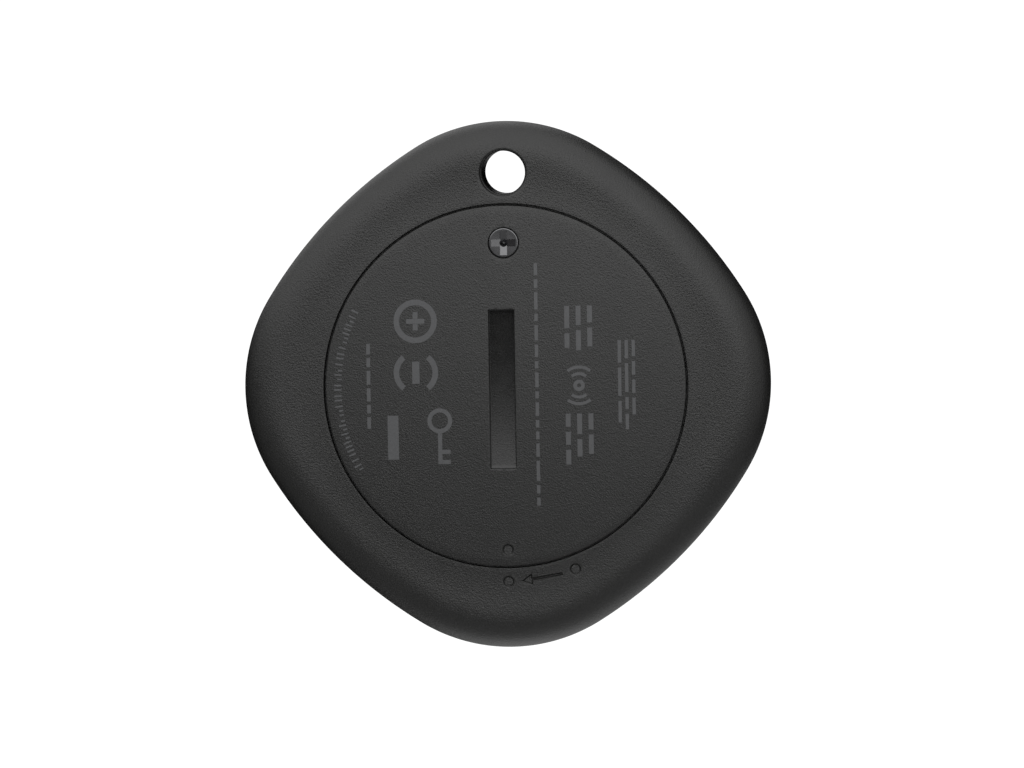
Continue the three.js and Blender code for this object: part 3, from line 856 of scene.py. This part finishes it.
def beacon(x, y):
    """A dot between two pairs of arcs."""
    marks = [ring_stroke(x, y, 0.32, 0.3)]
    for r in (0.95, 1.5):
        for middle in (90, -90):
            marks.append(stroke(arc_points(x, y, r, middle - 38, middle + 38, 18), 0.24))
    return marks


def cell_mark(x, y):
    """A coin cell seen from above, with its plus sign."""
    marks = [ring_stroke(x, y, 1.55, 0.46), stroke(straight(x - 0.75, y, x + 0.75, y), 0.4)]
    for side in (1, -1):
        marks.append(stroke(straight(x, y + 0.22 * side, x, y + 0.75 * side), 0.4))
    return marks


def coin_turn_mark(x, y):
    """A coin on edge in its slot, with an arc to each side for the turn."""
    marks = [stroke(straight(x, y - 0.9, x, y + 0.9), 0.6)]
    for middle in (0, 180):
        marks.append(stroke(arc_points(x, y, 1.6, middle - 52, middle + 52, 24), 0.46))
    return marks


def key_mark(x, y):
    marks = [ring_stroke(x, y + 1.35, 0.85, 0.34), stroke(straight(x, y + 0.33, x, y - 2.2), 0.34)]
    for low in (-2.03, -1.2):
        marks.append(stroke(straight(x + 0.18, y + low, x + 0.85, y + low), 0.34))
    return marks


# ---- Finishes ----------------------------------------------------------------------------------


class Finish:
    """A procedural material: a principled shader fed by noise in the tag's own coordinates."""

    def __init__(self, name, roughness=0.5, metallic=0.0):
        self.material = bpy.data.materials.new(name)
        self.material.use_nodes = True
        self.tree = self.material.node_tree
        self.shader = self.tree.nodes["Principled BSDF"]
        self.shader.inputs["Metallic"].default_value = metallic
        self.shader.inputs["Roughness"].default_value = roughness
        self.place = self.tree.nodes.new("ShaderNodeTexCoord")

    def add(self, kind, **values):
        node = self.tree.nodes.new(kind)
        for key, value in values.items():
            setattr(node, key, value)
        return node

    def join(self, source, target):
        self.tree.links.new(source, target)

    def noise(self, grain_mm, detail=2.0, roughness=0.5, stretch=None):
        """Noise whose features are about grain_mm across."""
        node = self.add("ShaderNodeTexNoise")
        node.inputs["Scale"].default_value = 1 / (grain_mm * MM)
        node.inputs["Detail"].default_value = detail
        node.inputs["Roughness"].default_value = roughness
        source = self.place.outputs["Object"]
        if stretch:
            mapping = self.add("ShaderNodeMapping")
            mapping.inputs["Scale"].default_value = stretch
            self.join(source, mapping.inputs["Vector"])
            source = mapping.outputs[0]
        self.join(source, node.inputs["Vector"])
        return node.outputs["Fac"]

    def cells(self, grain_mm, feature="F1"):
        node = self.add("ShaderNodeTexVoronoi", feature=feature)
        node.inputs["Scale"].default_value = 1 / (grain_mm * MM)
        self.join(self.place.outputs["Object"], node.inputs["Vector"])
        return node.outputs["Distance"]

    def ramp(self, source, stops):
        """A colour ramp of (position, colour) stops."""
        node = self.add("ShaderNodeValToRGB")
        elements = node.color_ramp.elements
        while len(elements) < len(stops):
            elements.new(0.5)
        for element, (position, color) in zip(elements, stops):
            element.position = position
            element.color = (*color, 1)
        self.join(source, node.inputs["Fac"])
        return node.outputs["Color"]

    def span(self, source, low, high, from_low=0.3, from_high=0.7):
        """A value moved from one span to another."""
        node = self.add("ShaderNodeMapRange")
        limits = {"From Min": from_low, "From Max": from_high, "To Min": low, "To Max": high}
        for key, value in limits.items():
            node.inputs[key].default_value = value
        self.join(source, node.inputs["Value"])
        return node.outputs[0]

    def bump(self, source, depth_mm, strength=1.0, under=None):
        node = self.add("ShaderNodeBump")
        node.inputs["Strength"].default_value = strength
        node.inputs["Distance"].default_value = depth_mm * MM
        self.join(source, node.inputs["Height"])
        if under is not None:
            self.join(under, node.inputs["Normal"])
        return node.outputs["Normal"]

    def color(self, socket):
        self.join(socket, self.shader.inputs["Base Color"])

    def roughness(self, socket):
        self.join(socket, self.shader.inputs["Roughness"])

    def normal(self, socket):
        self.join(socket, self.shader.inputs["Normal"])


def scaled(color, k):
    return tuple(c * k for c in color)


def speckled(
    name, color, spread, grain_mm, roughness, roughness_spread, depth_mm, metallic=0.0, stretch=None
):
    """A base finish: colour and gloss that vary a little, over a fine relief."""
    finish = Finish(name, roughness, metallic)
    fine = finish.noise(grain_mm, 3, 0.6, stretch)
    broad = finish.noise(grain_mm * 9, 2)
    finish.color(finish.ramp(fine, [(0.32, scaled(color, 1 - spread)), (0.68, scaled(color, 1 + spread))]))
    finish.roughness(finish.span(broad, roughness - roughness_spread, roughness + roughness_spread))
    finish.normal(finish.bump(fine, depth_mm))
    return finish


def slot_color(name):
    """The record's own colour for a slot."""
    return next(m["base_color"][:3] for m in frame["record"]["materials"] if m["slot"] == name)


def polished_shaded_finish():
    """The same plastic where the mould is polished: in the coin slot. Its colour is darker than the
    housing's, which is painted shade in the recess.
    """
    # painted shade: the slot takes 0.5 of the record's colour against the housing's 0.6, for the shade
    # inside the recess; the low roughness is the real polish
    color = scaled(slot_color("housing_black"), 0.5)
    finish = speckled("housing_polished_painted_shade", color, 0.3, 0.1, 0.17, 0.03, 0.007)
    finish.shader.inputs["Specular IOR Level"].default_value = 0.62
    return finish.material


def housing_finish():
    """Charcoal plastic with a fine spark-eroded grain."""
    color = scaled(slot_color("housing_black"), 0.6)
    finish = Finish("housing_black", 0.4)
    finish.shader.inputs["Specular IOR Level"].default_value = 0.7
    grain = finish.noise(0.11, 3, 0.65)
    pits = finish.cells(0.14)
    broad = finish.noise(2.5, 2)
    finish.color(finish.ramp(grain, [(0.3, scaled(color, 0.72)), (0.5, color), (0.7, scaled(color, 1.32))]))
    finish.roughness(finish.span(broad, 0.32, 0.38))
    under = finish.bump(pits, 0.016, 0.9)
    finish.normal(finish.bump(grain, 0.03, 1.0, under))
    return finish.material


def print_finish():
    return speckled("print_grey", (0.122, 0.124, 0.128), 0.1, 0.12, 0.5, 0.04, 0.003).material


def cover_screw_finish():
    """Dark nickel, nearly smooth, so that the flat head and the sloped recess mirror different lights."""
    color = scaled(slot_color("cover_screw_steel"), 0.5)
    return speckled("cover_screw_steel", color, 0.06, 0.2, 0.14, 0.03, 0.0003, metallic=1.0).material


def brushed_finish(name, roughness):
    """Metal whose grain is drawn out along X."""
    color = slot_color(name)
    return speckled(name, color, 0.06, 0.25, roughness, 0.06, 0.001, 1.0, stretch=(1, 12, 1)).material


def board_finish():
    """Solder mask over copper: a fine lattice of tracks shows through as a lighter green."""
    color = slot_color("board")
    finish = Finish("board", 0.35)
    lattice = finish.cells(1.1, "DISTANCE_TO_EDGE")
    tracks = finish.span(lattice, 1, 0, 0.02, 0.08)
    mixed = finish.ramp(tracks, [(0.2, color), (0.8, scaled(color, 1.9))])
    finish.color(mixed)
    finish.roughness(finish.span(finish.noise(0.8), 0.3, 0.42))
    finish.normal(finish.bump(tracks, 0.02, 0.7))
    return finish.material


def component_finish(name, body, ends, low, high):
    """A component with metal ends: the ends are found in the node's own box, along Y."""
    finish = Finish(name, 0.45)
    split = finish.add("ShaderNodeSeparateXYZ")
    finish.join(finish.place.outputs["Generated"], split.inputs[0])
    black, white, fade = (0, 0, 0), (1, 1, 1), 0.01
    stops = [(low, white), (low + fade, black), (high, black), (high + fade, white)]
    end = finish.ramp(split.outputs["Y"], stops)
    grain = finish.noise(0.1, 3)
    mix = finish.add("ShaderNodeMix", data_type="RGBA")
    finish.join(end, mix.inputs["Factor"])
    finish.join(finish.ramp(grain, [(0.3, scaled(body, 0.85)), (0.7, scaled(body, 1.15))]), mix.inputs["A"])
    finish.join(finish.ramp(grain, [(0.3, scaled(ends, 0.9)), (0.7, scaled(ends, 1.05))]), mix.inputs["B"])
    finish.color(mix.outputs["Result"])
    finish.join(end, finish.shader.inputs["Metallic"])
    finish.normal(finish.bump(grain, 0.003))
    return finish.material


TIN = (0.55, 0.55, 0.54)

# Colour spread, grain in millimetres, roughness, its spread, and relief in millimetres, by slot.
INNER_LOOKS = {
    "seal_rubber": (0.15, 0.12, 0.62, 0.05, 0.004),
    "nylon_white": (0.03, 0.3, 0.5, 0.05, 0.003),
    "tray_black": (0.2, 0.2, 0.42, 0.06, 0.006),
    "gasket_grey": (0.06, 0.15, 0.55, 0.05, 0.003),
    "chip_black": (0.3, 0.06, 0.55, 0.05, 0.003),
    "tape_grey": (0.15, 0.08, 0.85, 0.04, 0.008),
    "ceramic_white": (0.04, 0.1, 0.4, 0.06, 0.002),
}

METAL_ROUGHNESS = {
    "cell_steel": 0.24,
    "cell_filling": 0.34,
    "contact_gold": 0.25,
    "screw_steel": 0.32,
    "can_silver": 0.28,
    "sounder_brass": 0.3,
}


def inner_finishes():
    """A finish for each slot that the carried-over CAD nodes use."""
    made = {}
    for slot, look in INNER_LOOKS.items():
        made[slot] = speckled(slot, slot_color(slot), *look).material
    for slot, roughness in METAL_ROUGHNESS.items():
        made[slot] = brushed_finish(slot, roughness)
    made["board"] = board_finish()
    made["ceramic_tan"] = component_finish("ceramic_tan", slot_color("ceramic_tan"), TIN, 0.24, 0.75)
    return made


def dress_cad_nodes(replaced):
    """Finishes and small edge roundings for the CAD nodes that stay."""
    finishes = inner_finishes()
    slots = {part["node"]: part["material_slot"] for part in frame["record"]["subparts"]}
    for name, node in frame["nodes"].items():
        if name in replaced:
            continue
        node.data.materials.clear()
        node.data.materials.append(finishes[slots[name]])
        low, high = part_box(name)
        thinnest = min(high - low)
        soften = node.modifiers.new("soft_edges", "BEVEL")
        soften.width = min(0.08 * MM, thinnest * 0.15)
        soften.segments = 2
        soften.limit_method = "ANGLE"
        soften.angle_limit = math.radians(40)
        soften.use_clamp_overlap = True
        even = node.modifiers.new("even_shading", "WEIGHTED_NORMAL")
        even.keep_sharp = False


# ---- Assembly ----------------------------------------------------------------------------------


def add_floor():
    """A plain white floor just under the tag. It lights nothing and catches no shadow."""
    half = 3
    depth = CAD_BOX[0].z - 0.2 * MM
    corners = [(-half, -half, depth), (half, -half, depth), (half, half, depth), (-half, half, depth)]
    mesh = bpy.data.meshes.new("floor")
    mesh.from_pydata(corners, [], [(0, 1, 2, 3)])
    floor = link("floor", mesh)
    white = bpy.data.materials.new("floor_white")
    white.use_nodes = True
    nodes, links = white.node_tree.nodes, white.node_tree.links
    nodes.clear()
    glow = nodes.new("ShaderNodeEmission")
    glow.inputs["Strength"].default_value = WHITE
    output = nodes.new("ShaderNodeOutputMaterial")
    links.new(glow.outputs[0], output.inputs[0])
    mesh.materials.append(white)
    floor.visible_diffuse = False
    floor.visible_glossy = False
    floor.visible_shadow = False


add_floor()
# smooth is the coin slot's polished finish, with a darker colour that is painted shade
textured, smooth = housing_finish(), polished_shaded_finish()
place(rear_shell(), "housing", "housing_black", textured, "rear_shell")
place(front_shell(), "housing", "housing_black", textured, "front_shell")
place(battery_cover(textured, smooth), "cover", "housing_black", textured, "battery_cover")
place(cover_screw(), "screw", "cover_screw_steel", cover_screw_finish(), "cover_screw", sharp=24)
place(cover_print(), "cover", "housing_black", print_finish())
dress_cad_nodes({"rear_shell", "front_shell", "battery_cover", "cover_screw"})
